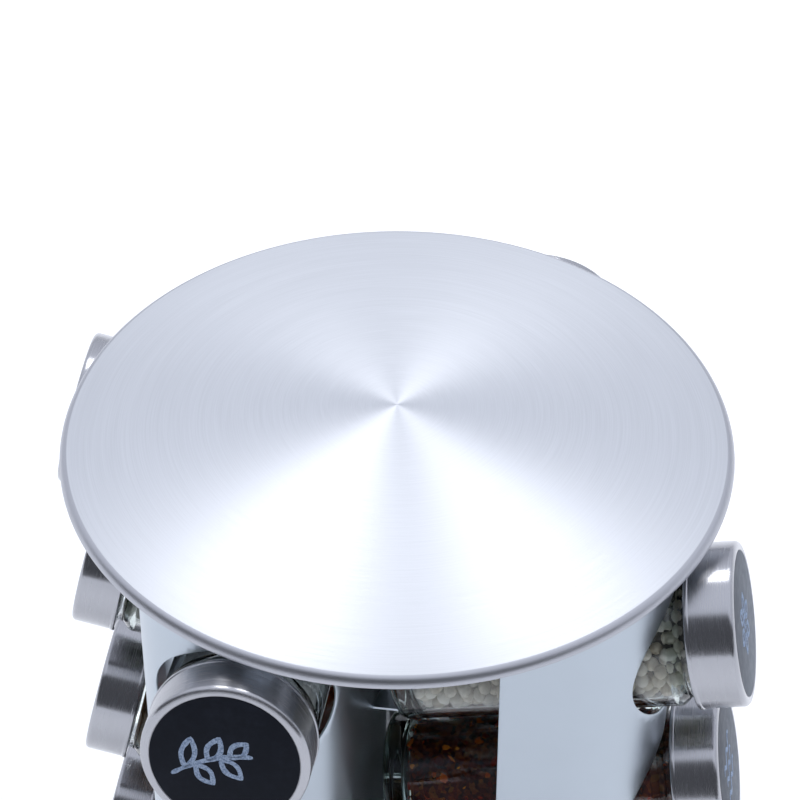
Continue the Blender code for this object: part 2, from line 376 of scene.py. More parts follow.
def clear_glass():
    """Jar glass: clear in the walls, and greener and darker in the foot and shoulder, where it is
    thick; the darker tint there is painted shade for the dark refraction of the thick glass.
    """
    clear = (0.96, 0.988, 0.976)
    # Shoulder and foot tints: thick glass is greener, and the darkening is painted shade for its
    # dark refraction
    shoulder = (0.70, 0.77, 0.745)
    foot = (0.50, 0.66, 0.60)
    look = Look("jar_glass", clear, 0.0, 0.01, Transmission_Weight=1.0, IOR=1.47)
    split = look.node("SeparateXYZ")
    look.join(look.node("TexCoord"), "Object", split, "Vector")
    stops = [(0, foot), (2.5 * MM, foot), (4.5 * MM, clear), (82.5 * MM, clear),
             (84.5 * MM, shoulder), (86.5 * MM, shoulder), (88 * MM, clear)]
    share = look.math("DIVIDE", (split, "Z"), MOUTH)
    look.color(share, [(height / MOUTH, color) for height, color in stops])
    wobble = look.noise(55, 2)
    look.relief(wobble, 0.12 * MM, 0.5)
    film = look.noise(160, 3)
    look.rough(film, 0.0, 0.035)
    return look.material


def grain_material(name, stops, roughness=0.6, wrinkle=900, depth=0.12, gloss=0.2):
    """Dry grains: each loose grain has its own colour from the ramp, and a wrinkled skin."""
    look = Look(name, stops[0][1], 0.0, roughness, Specular_IOR_Level=gloss)
    skin = look.noise(wrinkle, 4)
    own = (look.node("NewGeometry"), "Random Per Island")
    mixed = look.math("ADD", look.math("MULTIPLY", own, 0.8),
                      look.math("MULTIPLY", skin, 0.35))
    look.color(look.math("SUBTRACT", mixed, 0.08), stops)
    look.relief(skin, depth * MM)
    look.rough(skin, roughness - 0.12, roughness + 0.12)
    return look.material


def powder_material(name, stops, grain=1500, depth=0.35):
    """A mass of fine grains, coloured cell by cell."""
    look = Look(name, stops[0][1], 0.0, 0.85, Specular_IOR_Level=0.25)
    cells = look.node("TexVoronoi", Scale=grain)
    look.join(look.node("TexCoord"), "Object", cells, "Vector")
    clumps = look.noise(120, 4)
    tone = look.node("SeparateColor")
    look.join(cells, "Color", tone, "Color")
    mixed = look.math("ADD", look.math("MULTIPLY", (tone, "Red"), 0.55),
                      look.math("MULTIPLY", clumps, 0.5))
    look.color(mixed, stops)
    low = look.bump(clumps, depth * 3 * MM, 0.6)
    look.relief((cells, "Distance"), depth * MM, 0.9, low)
    look.rough(clumps, 0.75, 0.95)
    return look.material


def label_material():
    """Matte black film with a little chalk dust, which shows at a low angle."""
    low, high = (0.003, 0.005, 0.011), (0.010, 0.013, 0.022)
    look = Look("label_black", (0.004, 0.006, 0.013), 0.0, 0.45, Specular_IOR_Level=0.1,
                Sheen_Weight=0.32, Sheen_Roughness=0.35, Sheen_Tint=(0.75, 0.85, 1.0, 1.0))
    dust = look.noise(420, 5)
    smear = look.noise(70, 3)
    both = look.math("MULTIPLY", dust, smear)
    look.color(both, [(0.2, low), (0.55, high)])
    look.rough(dust, 0.38, 0.55)
    look.relief(dust, 0.02 * MM, 0.7)
    return look.material


def chalk_material():
    thin, thick = (0.17, 0.23, 0.35), (0.40, 0.49, 0.64)
    look = Look("chalk", (0.30, 0.37, 0.56), 0.0, 0.95, Specular_IOR_Level=0.1)
    powder = look.noise(2300, 5)
    look.color(powder, [(0.36, thin), (0.6, thick)])
    look.relief(powder, 0.06 * MM)
    look.rough(powder, 0.85, 1.0)
    return look.material


def plastic_material(name, color, roughness):
    look = Look(name, color, 0.0, roughness)
    fine = look.noise(1400, 3)
    look.relief(fine, 0.01 * MM, 0.6)
    wear = look.noise(90, 3)
    look.rough(wear, roughness - 0.06, roughness + 0.08)
    return look.material


def rubber_material():
    dark, light = (0.018, 0.018, 0.02), (0.04, 0.04, 0.042)
    look = Look("foot_rubber", (0.025, 0.025, 0.027), 0.0, 0.8)
    fine = look.noise(900, 4)
    look.color(fine, [(0.3, dark), (0.7, light)])
    look.relief(fine, 0.05 * MM)
    return look.material


DISC_STEEL = turned_steel("disc_steel", (0.62, 0.64, 0.68), 0.42, 0.8, 5200)
# The rolled edge's steel is smoother and less brushed than the disc's, and darker: the darker
# colour is painted shade for the dark band along the rim
SHADED_EDGE_STEEL = turned_steel("shaded_edge_steel", (0.48, 0.49, 0.53), 0.36, 0.3, 5200)
LID_STEEL = turned_steel("lid_steel", (0.45, 0.455, 0.485), 0.25, 0.9, 7500)
BASE_STEEL = turned_steel("base_steel", (0.55, 0.56, 0.59), 0.32, 0.6, 5200)
PANEL_STEEL = rolled_steel("panel_steel", (0.49, 0.543, 0.597), 0.33)
BEARING_STEEL = turned_steel("bearing_steel", (0.5, 0.51, 0.53), 0.38, 0.2, 3600)
GLASS = clear_glass()
LINER = plastic_material("lid_liner", (0.80, 0.80, 0.78), 0.42)
SIFTER = plastic_material("sifter_plastic", (0.88, 0.88, 0.86), 0.4)
RUBBER = rubber_material()
LABEL = label_material()
CHALK = chalk_material()


# ---- tower

def rolled_edge(top, bottom, roll):
    """Corners of a disc's edge: it rolls over, hangs as a lip and turns back up inside."""
    inner = RIM_RADIUS - DISC_SHEET
    lip = bottom - LIP_ROUND
    return [(RIM_RADIUS, top, roll), (RIM_RADIUS, lip, 0.45 * MM),
            (inner, lip, 0.45 * MM), (inner, top - DISC_SHEET, roll - DISC_SHEET)]


def dome(radius):
    """Height of the disc's dome, which meets the roll near the rim."""
    rise = DISC_TOP - RIM_HEIGHT - EDGE_ROLL
    return RIM_HEIGHT + EDGE_ROLL + rise * (1 - (radius / (RIM_RADIUS - DOME_INSET)) ** 2)


def make_top_disc():
    """The domed disc, with a socket for the rod under its middle, and a rolled edge whose steel is
    painted darker: painted shade for the dark band along the rim.
    """
    boss = 7 * MM
    boss_bottom = RIM_HEIGHT + 4 * MM
    socket_radius = 4.4 * MM
    socket_top = DISC_TOP - 3.7 * MM
    rings = [RIM_RADIUS * 0.92 * step / 40 for step in range(41)]
    outside = [(radius, dome(radius)) for radius in rings]
    outer = (rings[-1], dome(rings[-1]), 0)
    inner = (rings[-1], dome(rings[-1]) - DISC_SHEET, 0)
    roll = rolled_edge(dome(RIM_RADIUS), RIM_HEIGHT, EDGE_ROLL)
    edge = rounded([outer] + roll + [inner], 14)
    inside = [(radius, dome(radius) - DISC_SHEET) for radius in reversed(rings) if radius > boss]
    socket = rounded([(boss, dome(boss) - DISC_SHEET, 0), (boss, boss_bottom, 0.5 * MM),
                      (socket_radius, boss_bottom, 0), (socket_radius, socket_top, 0),
                      (0, socket_top, 0)])
    mesh = turned("top_disc_steel", outside + edge[1:-1] + inside + socket, 256)
    # The outer band takes the darker steel: painted shade along the rim
    second_material(mesh, lambda x, y, z: math.hypot(x, y) > RIM_RADIUS - EDGE_SHADE_WIDTH)
    add_piece("top_disc_steel", mesh, "carousel", [DISC_STEEL, SHADED_EDGE_STEEL],
              ["top_disc"])


def make_floor():
    hole = 4.4 * MM
    roll = rolled_edge(FLOOR_TOP, FLOOR_BOTTOM + LIP_ROUND, 3 * MM)
    corners = [(hole, FLOOR_TOP, 0)] + roll + [(hole, FLOOR_TOP - DISC_SHEET, 0)]
    mesh = turned("floor_steel", rounded(corners, 8))
    add_piece("floor_steel", mesh, "carousel", [BASE_STEEL], ["carousel_floor"])


def make_base():
    """The pressed drum, open underneath with an inward flange, and the rubber ring under it."""
    sheet = 1.2 * MM
    pivot = 5 * MM
    flange = 64 * MM
    inner = BASE_RADIUS - sheet
    corners = [(pivot, BASE_TOP, 0), (BASE_RADIUS, BASE_TOP, 3.4 * MM),
               (BASE_RADIUS, BASE_BOTTOM, 1 * MM), (flange, BASE_BOTTOM, 0.3 * MM),
               (flange, BASE_BOTTOM + sheet, 0.3 * MM), (inner, BASE_BOTTOM + sheet, 0),
               (inner, BASE_TOP - sheet, 2.4 * MM), (pivot, BASE_TOP - sheet, 0)]
    mesh = turned("base_drum", rounded(corners, 6))
    add_piece("base_drum", mesh, "base", [BASE_STEEL], ["base_shell"])
    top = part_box("foot_ring")[1].z
    foot = rounded([(66.2 * MM, top, 0.2 * MM), (76.8 * MM, top, 0.2 * MM),
                    (76.5 * MM, 0, 0.4 * MM), (66.5 * MM, 0, 0.4 * MM)])
    add_piece("foot_rubber", turned("foot_rubber", foot), "base", [RUBBER],
              ["foot_ring"])


def make_rod():
    """The rod with its head, and steel for the three bearing pieces, which keep their CAD shape."""
    low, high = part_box("centre_rod")
    shank = 4 * MM
    head = 9 * MM
    head_top = low.z + 3 * MM
    corners = [(0, high.z, 0), (shank, high.z, 0.5 * MM), (shank, head_top, 0),
               (head, head_top, 0.5 * MM), (head, low.z, 0.5 * MM), (0, low.z, 0)]
    mesh = turned("rod_steel", rounded(corners), 48)
    add_piece("rod_steel", mesh, "carousel", [BEARING_STEEL], ["centre_rod"])
    for node in ("bearing_lower_race", "bearing_ball_ring", "bearing_upper_race"):
        data = frame["nodes"][node].data
        data.materials.clear()
        data.materials.append(BEARING_STEEL)


class PanelSheet:
    """The right panel's bent sheet: a flat pattern, and where each of its points lies when bent.

    Points are named by their distance along the outer face from the line in front of the jars.
    """

    def __init__(self):
        self.corner_x = PANEL_REACH - PANEL_CORNER
        self.middle = jar_base("right", 1).y
        self.near_flat = PANEL_NEAR_WIDTH - PANEL_CORNER
        self.far_flat = PANEL_FAR_WIDTH - PANEL_CORNER
        self.low = (-self.near_flat - PANEL_CORNER * math.pi / 2
                    - (self.corner_x - PANEL_FLANK_INSET))
        self.high = self.far_flat + PANEL_CORNER * RETURN_ANGLE + RETURN_LENGTH

    def place(self, along, height, inset):
        """The point at a distance along the sheet, a height, and a depth inside the outer face."""
        sign = math.copysign(1, along)
        flat, turn = self.far_flat, RETURN_ANGLE
        if sign < 0:
            flat, turn = self.near_flat, math.pi / 2
        if abs(along) <= flat:
            return (PANEL_REACH - inset, self.middle + along, height)
        angle = min((abs(along) - flat) / PANEL_CORNER, turn)
        rest = abs(along) - flat - angle * PANEL_CORNER
        radius = PANEL_CORNER - inset
        x = self.corner_x + radius * math.cos(angle) - rest * math.sin(angle)
        y = flat + radius * math.sin(angle) + rest * math.cos(angle)
        return (x, self.middle + sign * y, height)

    def hole(self, axis_height, radius, steps=112):
        """Flat pattern of a hole: a cylinder on the jar's axis, unrolled from the bent sheet."""
        outline = []
        for step in range(steps):
            angle = math.tau * step / steps
            side = radius * math.cos(angle)
            flat = self.near_flat if side < 0 else self.far_flat
            bend = math.asin(max(abs(side) - flat, 0) / PANEL_CORNER)
            along = math.copysign(min(abs(side), flat) + bend * PANEL_CORNER, side)
            x = self.corner_x + PANEL_CORNER * math.cos(bend)
            up = radius * math.sin(angle)
            reach = (x + math.sin(JAR_TILT) * up) / math.cos(JAR_TILT)
            rise = math.sin(JAR_TILT) * reach
            outline.append((along, axis_height + rise + math.cos(JAR_TILT) * up))
        return outline


def panel_mesh(axis_heights):
    """Both faces of the sheet and its cut edges, with a small round."""
    sheet = PanelSheet()
    edge = 0.22 * MM
    ease = HOLE_RADIUS + edge
    grid = []
    for row in range(1, 134):
        height = PANEL_BOTTOM + (PANEL_TOP - PANEL_BOTTOM) * row / 134
        for column in range(1, 80):
            along = sheet.low + (sheet.high - sheet.low) * (column + 0.5 * (row % 2)) / 81
            grid.append((along, height))
    holes = [sheet.hole(height, ease) for height in axis_heights]
    corners = [(sheet.low + edge, PANEL_BOTTOM + edge), (sheet.high - edge, PANEL_BOTTOM + edge),
               (sheet.high - edge, PANEL_TOP - edge), (sheet.low + edge, PANEL_TOP - edge)]
    frame_line = []
    for (x1, z1), (x2, z2), steps in zip(corners, corners[1:] + corners[:1], (60, 90, 60, 90)):
        frame_line.extend((x1 + (x2 - x1) * step / steps, z1 + (z2 - z1) * step / steps)
                          for step in range(steps))
    kept = [point for point in grid if clear_of_holes(point, holes, 1.1 * MM)]
    flat = []
    loops = []
    for outline in [frame_line] + holes:
        loops.append(list(range(len(flat), len(flat) + len(outline))))
        flat.extend(outline)
    flat.extend(kept)
    # Triangulate in millimetres. Triangles that fall inside a hole are dropped below.
    scale = 1000
    constraint = [(start, end) for loop in loops for start, end in zip(loop, loop[1:] + loop[:1])]
    made = delaunay_2d_cdt([Vector(point) * scale for point in flat], constraint, [], 0, 1e-5)
    points, triangles, origins = made[0], made[2], made[3]
    index_of = {old: index for index, origin in enumerate(origins) for old in origin}
    points = [(point.x / scale, point.y / scale) for point in points]
    verts = [sheet.place(*point, inset) for inset in (0, SHEET) for point in points]
    faces = []
    for triangle in triangles:
        center = [sum(points[index][axis] for index in triangle) / 3 for axis in (0, 1)]
        if all(not inside(center, hole) for hole in holes):
            faces.append(list(triangle))
            faces.append([index + len(points) for index in reversed(triangle)])
    for number, loop in enumerate(loops):
        ring = [index_of[index] for index in loop]
        add_cut_edge(sheet, ring, points, verts, faces, edge, number == 0)
    return verts, faces


def inside(point, outline):
    """Whether a flat point lies inside an outline."""
    found = False
    for (x1, y1), (x2, y2) in zip(outline, outline[1:] + outline[:1]):
        if (y1 > point[1]) != (y2 > point[1]):
            if point[0] < (x2 - x1) * (point[1] - y1) / (y2 - y1) + x1:
                found = not found
    return found


def clear_of_holes(point, holes, margin):
    for hole in holes:
        nearest = min(math.hypot(point[0] - x, point[1] - y) for x, y in hole)
        if nearest < margin or inside(point, hole):
            return False
    return True


def add_cut_edge(sheet, ring, points, verts, faces, edge, is_frame):
    """Join the two faces along one cut, the sheet's frame or a hole, with a rounded strip."""
    flat = [points[index] for index in ring]
    middle = [sum(point[axis] for point in flat) / len(flat) for axis in (0, 1)]
    rows = [ring]
    for depth in (edge * 0.35, edge, SHEET - edge, SHEET - edge * 0.35):
        side = edge if depth in (edge, SHEET - edge) else edge * 0.72
        row = []
        for along, height in flat:
            out_x = out_z = 0
            if not is_frame:
                reach = math.hypot(along - middle[0], height - middle[1])
                out_x = -side * (along - middle[0]) / reach
                out_z = -side * (height - middle[1]) / reach
            elif min(along - sheet.low, sheet.high - along) < edge * 1.5:
                out_x = math.copysign(side, along - middle[0])
            if is_frame and min(height - PANEL_BOTTOM, PANEL_TOP - height) < edge * 1.5:
                out_z = math.copysign(side, height - middle[1])
            row.append(len(verts))
            verts.append(sheet.place(along + out_x, height + out_z, depth))
        rows.append(row)
    rows.append([index + len(points) for index in ring])
    for upper, lower in zip(rows, rows[1:]):
        for index in range(len(ring)):
            after = (index + 1) % len(ring)
            faces.append([upper[index], upper[after], lower[after], lower[index]])


def add_ledges(axis_heights, verts, faces):
    """Lanced tongues on the panel's return, each under the foot of one of the next jars."""
    sheet = PanelSheet()
    root_x, root_y, _ = sheet.place(sheet.high - LEDGE_ROOT, 0, SHEET / 2)
    slope = math.tan(math.pi / 2 - RETURN_ANGLE)
    corner = 3 * MM
    plan = [(x, root_y - slope * (x - root_x)) for x in (LEDGE_START, LEDGE_END)]
    for quarter, middle_x in enumerate((LEDGE_END - corner, LEDGE_START + corner)):
        for step in range(7):
            angle = math.pi / 2 * (quarter + step / 6)
            plan.append((middle_x + corner * math.cos(angle),
                         LEDGE_DEPTH - corner + corner * math.sin(angle)))
    size = len(plan)
    for axis_height in axis_heights:
        top = axis_height - LEDGE_DROP
        first = len(verts)
        for level in (top, top - SHEET):
            verts.extend((x, y, level) for x, y in plan)
        faces.append(list(range(first, first + size)))
        faces.append(list(range(first + 2 * size - 1, first + size - 1, -1)))
        for index in range(size):
            after = (index + 1) % size
            faces.append([first + index, first + size + index, first + size + after, first + after])


def make_panels():
    heights = []
    for tier in TIERS:
        base = jar_base("right", tier)
        heights.append(base.z - base.x * math.tan(JAR_TILT))
    verts, faces = panel_mesh([height + HOLE_RISE for height in heights])
    add_ledges(heights, verts, faces)
    mesh = make_mesh("panel_sheet", verts, faces, 30)
    for side in SIDES:
        add_piece(side + "_panel_sheet", mesh, "carousel", [PANEL_STEEL],
                  [side + "_panel"], side_turn(side))


# ---- jars

def thread(height, angle):
    """Screw thread on the jar's neck: how far its surface stands out."""
    pitch = 4 * MM
    tooth = 0.6 * MM
    start, end = 90.6 * MM, 97.6 * MM
    if not start < height < end:
        return 0
    phase = (height / pitch - angle / math.tau) % 1
    fade = min(1, (height - start) / MM, (end - height) / MM)
    return tooth * fade * max(0, math.cos((phase - 0.5) * math.tau)) ** 2


def glass_mesh():
    """The jar: a hollow under its foot, straight walls, a shoulder and a threaded neck."""
    bore = JAR_RADIUS - JAR_WALL
    hollow = 1.1 * MM
    neck = [(NECK_RADIUS, height) for height in np.arange(90.4, 97.9, 0.25) * MM]
    outside = rounded([(0, hollow, 0), (15.5 * MM, hollow, 1 * MM), (17.5 * MM, 0, 1 * MM),
                       (JAR_RADIUS, 0, 3 * MM), (JAR_RADIUS, SHOULDER + 1.6 * MM, 2.4 * MM),
                       (NECK_RADIUS, NECK_START, 0.8 * MM), (NECK_RADIUS, 90.3 * MM, 0)])
    mouth = rounded([(NECK_RADIUS, 97.9 * MM, 0), (NECK_RADIUS, MOUTH, 0.7 * MM),
                     (NECK_BORE, MOUTH, 0.7 * MM), (NECK_BORE, NECK_START + 0.5 * MM, 1.2 * MM),
                     (bore, SHOULDER, 2 * MM), (bore, JAR_FLOOR, 3 * MM),
                     (0, JAR_FLOOR + 0.4 * MM, 0)])
    return turned("jar_glass", outside + neck + mouth, 96, thread)


def lid_mesh():
    """The steel cap with a shallow recess for its label, and a pale liner inside."""
    recess = LID_TOP - 0.15 * MM
    body = LID_RADIUS - 0.3 * MM
    bore = NECK_RADIUS + 0.8 * MM
    hem = LID_RADIUS - 1.1 * MM
    liner_start = LID_START + 0.8 * MM
    ceiling = LID_TOP - 2 * MM
    mesh = turned("lid_steel", rounded([
        (0, recess, 0), (LABEL_RADIUS + 0.1 * MM, recess, 0),
        (LABEL_RADIUS + 0.25 * MM, LID_TOP, 0.1 * MM), (LABEL_RADIUS + 1.1 * MM, LID_TOP, 0.3 * MM),
        (body, LID_TOP - 0.25 * MM, 1.5 * MM), (body, LID_START + 1.5 * MM, 0.25 * MM),
        (LID_RADIUS, LID_START + 1.2 * MM, 0.4 * MM), (LID_RADIUS, LID_START, 0.5 * MM),
        (hem, LID_START, 0.4 * MM), (hem, liner_start, 0), (bore, liner_start, 0.3 * MM),
        (bore, ceiling, 0.8 * MM), (0, ceiling, 0)]), 128)
    liner_radius = LID_RADIUS - 1.15 * MM
    liner_top = LID_TOP - 1.2 * MM
    second_material(mesh, lambda x, y, z: math.hypot(x, y) < liner_radius and z < liner_top)
    return mesh


def sifter_mesh():
    """The plug in the jar's mouth: a flange, a skirt and a plate with nine round holes."""
    low = MOUTH + 0.3 * MM
    rim = NECK_RADIUS - 0.4 * MM
    skirt = NECK_BORE - 0.9 * MM
    skirt_end = MOUTH - 5 * MM
    mesh = turned("sifter_plug", rounded([
        (0, low + 0.5 * MM, 0), (16 * MM, low + 0.5 * MM, 0.5 * MM),
        (17 * MM, low + 1 * MM, 0.5 * MM), (rim, low + 1 * MM, 0.4 * MM), (rim, low, 0.3 * MM),
        (skirt, low, 0), (skirt, skirt_end, 0.3 * MM), (skirt - 1 * MM, skirt_end, 0.3 * MM),
        (skirt - 1 * MM, low - 0.3 * MM, 0.3 * MM), (0, low - 0.3 * MM, 0)], 3), 72)
    work = bmesh.new()
    hole = 1.9 * MM
    for radius, count in ((0, 1), (9 * MM, 8)):
        for step in range(count):
            angle = math.tau * step / count
            place = Matrix.Translation((radius * math.cos(angle), radius * math.sin(angle), low))
            bmesh.ops.create_cone(work, cap_ends=True, segments=28, radius1=hole, radius2=hole,
                                  depth=4 * MM, matrix=place)
    drill_mesh = bpy.data.meshes.new("drill")
    work.to_mesh(drill_mesh)
    work.free()
    plug = new_object("plug", mesh)
    drill = new_object("drill", drill_mesh)
    cut = plug.modifiers.new("holes", "BOOLEAN")
    cut.operation = "DIFFERENCE"
    cut.object = drill
    graph = bpy.context.evaluated_depsgraph_get()
    drilled = bpy.data.meshes.new_from_object(plug.evaluated_get(graph))
    for item in (plug, drill):
        bpy.data.objects.remove(item)
    drilled.set_sharp_from_angle(angle=math.radians(35))
    return drilled


# ---- spices

FILL_RADIUS = JAR_RADIUS - JAR_WALL - 0.15 * MM
FILL_LOW = JAR_FLOOR + 0.6 * MM
FILL_HIGH = 88 * MM
FILL_TOP_AT_NECK = 15 * MM
NECK_FILL = NECK_BORE - 0.2 * MM


def fill_top(along):
    """Height over the jar's axis of the level spice, which lies flat while the jar is tilted."""
    return FILL_TOP_AT_NECK + (FILL_HIGH - along) * math.tan(JAR_TILT)


def fill_mesh(name, radius, roughness, seed):
    """The mass of spice: a turned shape, roughened, and cut off level at the top."""
    rng = np.random.default_rng(seed)
    shrink = FILL_RADIUS - radius
    neck = min(radius, NECK_FILL)
    profile = rounded([(0, FILL_LOW + shrink, 0), (radius, FILL_LOW + shrink, 2.5 * MM),
                       (radius, SHOULDER - 0.5 * MM, 2 * MM), (neck, SHOULDER + 3.2 * MM, 1 * MM),
                       (neck, FILL_HIGH, 0.5 * MM), (0, FILL_HIGH, 0)], 4)
    dense = [profile[0]]
    for point in profile[1:]:
        length = math.dist(dense[-1], point)
        steps = max(1, int(length / (1.2 * MM)))
        start = dense[-1]
        for step in range(1, steps + 1):
            dense.append(tuple(a + (b - a) * step / steps for a, b in zip(start, point)))
    mesh = turned(name, dense, 90)
    for vert in mesh.vertices:
        vert.co.xy *= 1 - roughness * rng.random() / radius
        up = -vert.co.x
        top = fill_top(vert.co.z) - roughness * rng.random()
        if up > top:
            vert.co.x = -top
    return mesh


def packed_points(count, size, depth, seed, rounds=70):
    """Centres of grains of one size, loosely packed in the outer and top layers of the fill."""
    rng = np.random.default_rng(seed)
    outer = FILL_RADIUS - size
    low, high = FILL_LOW + size, FILL_HIGH - size
    angle = rng.random(count) * math.tau
    radius = outer * np.sqrt(rng.random(count))
    points = np.stack([radius * np.cos(angle), radius * np.sin(angle),
                       rng.uniform(low, high, count)], 1)
    for _ in range(rounds):
        gap = points[:, None] - points[None]
        distance = np.sqrt((gap ** 2).sum(2)) + np.eye(count)
        push = np.clip(2 * size - distance, 0, None) * (1 - np.eye(count))
        points = points + 0.35 * (gap / distance[..., None] * push[..., None]).sum(1)
        top = fill_top(0) - points[:, 2] * math.tan(JAR_TILT) - size
        points[:, 0] = np.maximum(points[:, 0], -top)
        inner = np.where(-points[:, 0] > top - depth, 0.1 * MM, outer - depth)
        limit = np.where(points[:, 2] > SHOULDER - size, min(outer, NECK_FILL - size), outer)
        radius = np.hypot(points[:, 0], points[:, 1])
        points[:, :2] *= np.clip(radius, inner, limit)[:, None] / radius[:, None]
        points[:, 2] = np.clip(points[:, 2], low, high)
    return points


def join_grains(name, core, shapes):
    """One mesh of loose grains, each (verts, faces), over a core in a second material, the painted
    shade seen between the grains.
    """
    verts = [tuple(vert.co) for vert in core.vertices]
    faces = [tuple(face.vertices) for face in core.polygons]
    in_core = len(faces)
    for grain_verts, grain_faces in shapes:
        start = len(verts)
        verts.extend(grain_verts)
        faces.extend(tuple(index + start for index in face) for face in grain_faces)
    mesh = loose_mesh(name, verts, faces)
    mesh.polygons.foreach_set("material_index", [1] * in_core + [0] * (len(faces) - in_core))
    mesh.set_sharp_from_angle(angle=math.radians(50))
    return mesh


def unit_ball(detail):
    work = bmesh.new()
    bmesh.ops.create_icosphere(work, subdivisions=detail, radius=1.0)
    verts = np.array([vert.co for vert in work.verts])
    faces = [tuple(vert.index for vert in face.verts) for face in work.faces]
    work.free()
    return verts, faces


def unit(vector):
    return vector / np.linalg.norm(vector)


def outward(point):
    """The direction from the jar's axis to a point."""
    return np.array([point[0], point[1], 0]) / math.hypot(point[0], point[1])


def berries_mesh():
    """Round berries, such as peppercorns, each a little different, with a puckered skin."""
    size = 2.15 * MM
    rng = np.random.default_rng(11)
    points = packed_points(880, size, 5.0 * MM, 5, 100)
    ball, ball_faces = unit_ball(2)
    shapes = []
    for point in points:
        stretch = rng.uniform(0.95, 1.04, 3)
        dents = rng.normal(size=(4, 3))
        dents /= np.linalg.norm(dents, axis=1)[:, None]
        pucker = np.clip(ball @ dents.T - 0.7, 0, None).sum(1)
        grain = ball * (1 - 0.3 * pucker[:, None]) * stretch * size * rng.uniform(0.93, 1.02)
        shapes.append((grain + point, ball_faces))
    return join_grains("berries", fill_mesh("berries_core", 14.2 * MM, 0.6 * MM, 3), shapes)


def flakes_mesh(name, count, longest, thickness, seed):
    """Thin, bent, many-sided flakes that lie about against the glass."""
    rng = np.random.default_rng(seed)
    points = packed_points(count, 0.9 * MM, 2.6 * MM, seed, 14)
    shapes = []
    for point in points:
        sides = int(rng.integers(5, 8))
        reach = longest * rng.uniform(0.35, 1.0)
        width = reach * rng.uniform(0.35, 0.9)
        angles = np.sort(rng.random(sides) * 0.6 + np.arange(sides)) / sides * math.tau
        plan = np.stack([reach * np.cos(angles), width * np.sin(angles)], 1)
        plan = plan * rng.uniform(0.4, 0.55, (sides, 1))
        lift = rng.uniform(-0.25, 0.25) * plan[:, 0] ** 2 / reach
        top = np.column_stack([plan, lift + thickness / 2])
        bottom = np.column_stack([plan, lift - thickness / 2])
        facing = unit(outward(point) + rng.normal(scale=0.5, size=3))
        side = unit(np.cross(facing, rng.normal(size=3)))
        basis = np.stack([side, np.cross(facing, side), facing])
        grain = np.vstack([top, bottom]) @ basis + point
        faces = [tuple(range(sides)), tuple(range(2 * sides - 1, sides - 1, -1))]
        faces += [(i, i + sides, (i + 1) % sides + sides, (i + 1) % sides) for i in range(sides)]
        shapes.append((keep_inside(grain), faces))
    return join_grains(name, fill_mesh(name + "_core", 19.0 * MM, 0.9 * MM, seed), shapes)


def seeds_mesh():
    """Long seeds, such as cumin."""
    rng = np.random.default_rng(21)
    points = packed_points(900, 1.3 * MM, 3.2 * MM, 9, 25)
    ball, ball_faces = unit_ball(1)
    shapes = []
    for point in points:
        out = outward(point)
        along = unit(np.cross(out, rng.normal(size=3)))
        across = np.cross(out, along)
        grain = ball * np.array([2.7, 0.75, 0.7]) * MM * rng.uniform(0.8, 1.1)
        grain = grain @ np.stack([along, across, out]) + point
        shapes.append((keep_inside(grain), ball_faces))
    return join_grains("seeds", fill_mesh("seeds_core", 18.4 * MM, 0.8 * MM, 8), shapes)


def keep_inside(grain):
    """Pull points that stand out of the fill back to its wall."""
    wall = np.where(grain[:, 2] > SHOULDER - 1 * MM, NECK_FILL, FILL_RADIUS)
    radius = np.hypot(grain[:, 0], grain[:, 1])
    grain = grain.copy()
    grain[:, :2] *= np.minimum(1, wall / radius)[:, None]
    grain[:, 2] = np.clip(grain[:, 2], FILL_LOW, FILL_HIGH)
    return grain


# A spice is the name of its fill and the materials that the fill takes.

def loose_spice(kind, name, stops, roughness, shade, *skin):
    """A spice of loose grains, over a core in the same colours darkened by shade: painted shade for
    the gaps between the grains and the mass behind them.
    """
    # The grain colours scaled down for the core: painted shade between the grains
    shade_stops = [(at, tuple(value * shade for value in color)) for at, color in stops]
    return kind, [grain_material(name, stops, roughness, *skin),
                  powder_material(name + "_painted_shade", shade_stops, 700, 0.4)]


def fine_spice(name, dark, light, grain, depth, start=0.15, end=0.8):
    return "powder", [powder_material(name, [(start, dark), (end, light)], grain, depth)]


# For a loose spice, the number after its roughness darkens the core's colours: painted shade
# between the grains
WHITE_PEPPER = loose_spice("berries", "white_pepper", [
    (0.0, (0.58, 0.50, 0.38)), (0.35, (0.78, 0.72, 0.60)), (0.8, (0.88, 0.85, 0.77))], 0.55, 0.16)
BLACK_PEPPER = loose_spice("berries", "black_pepper", [
    (0.0, (0.012, 0.009, 0.007)), (0.6, (0.035, 0.024, 0.018)),
    (1.0, (0.11, 0.075, 0.05))], 0.5, 0.5)
CORIANDER = loose_spice("berries", "coriander", [
    (0.0, (0.28, 0.17, 0.07)), (0.5, (0.46, 0.31, 0.14)), (1.0, (0.62, 0.46, 0.25))], 0.55, 0.2)
CHILLI = loose_spice("flakes", "chilli", [
    (0.0, (0.035, 0.004, 0.002)), (0.34, (0.15, 0.008, 0.003)), (0.55, (0.40, 0.024, 0.004)),
    (0.76, (0.68, 0.13, 0.008)), (0.95, (0.88, 0.42, 0.05))], 0.5, 0.3, 600, 0.08, 0.03)
HERBS = loose_spice("herbs", "herbs", [
    (0.0, (0.025, 0.045, 0.012)), (0.5, (0.07, 0.11, 0.03)), (1.0, (0.20, 0.23, 0.09))], 0.7, 0.5)
CUMIN = loose_spice("seeds", "cumin", [
    (0.0, (0.10, 0.055, 0.02)), (0.5, (0.24, 0.15, 0.06)), (1.0, (0.42, 0.29, 0.13))], 0.6, 0.3)
SALT = fine_spice("salt", (0.62, 0.64, 0.66), (0.90, 0.91, 0.92), 1300, 0.4)
PAPRIKA = fine_spice("paprika", (0.26, 0.035, 0.010), (0.46, 0.085, 0.02), 2600, 0.15)
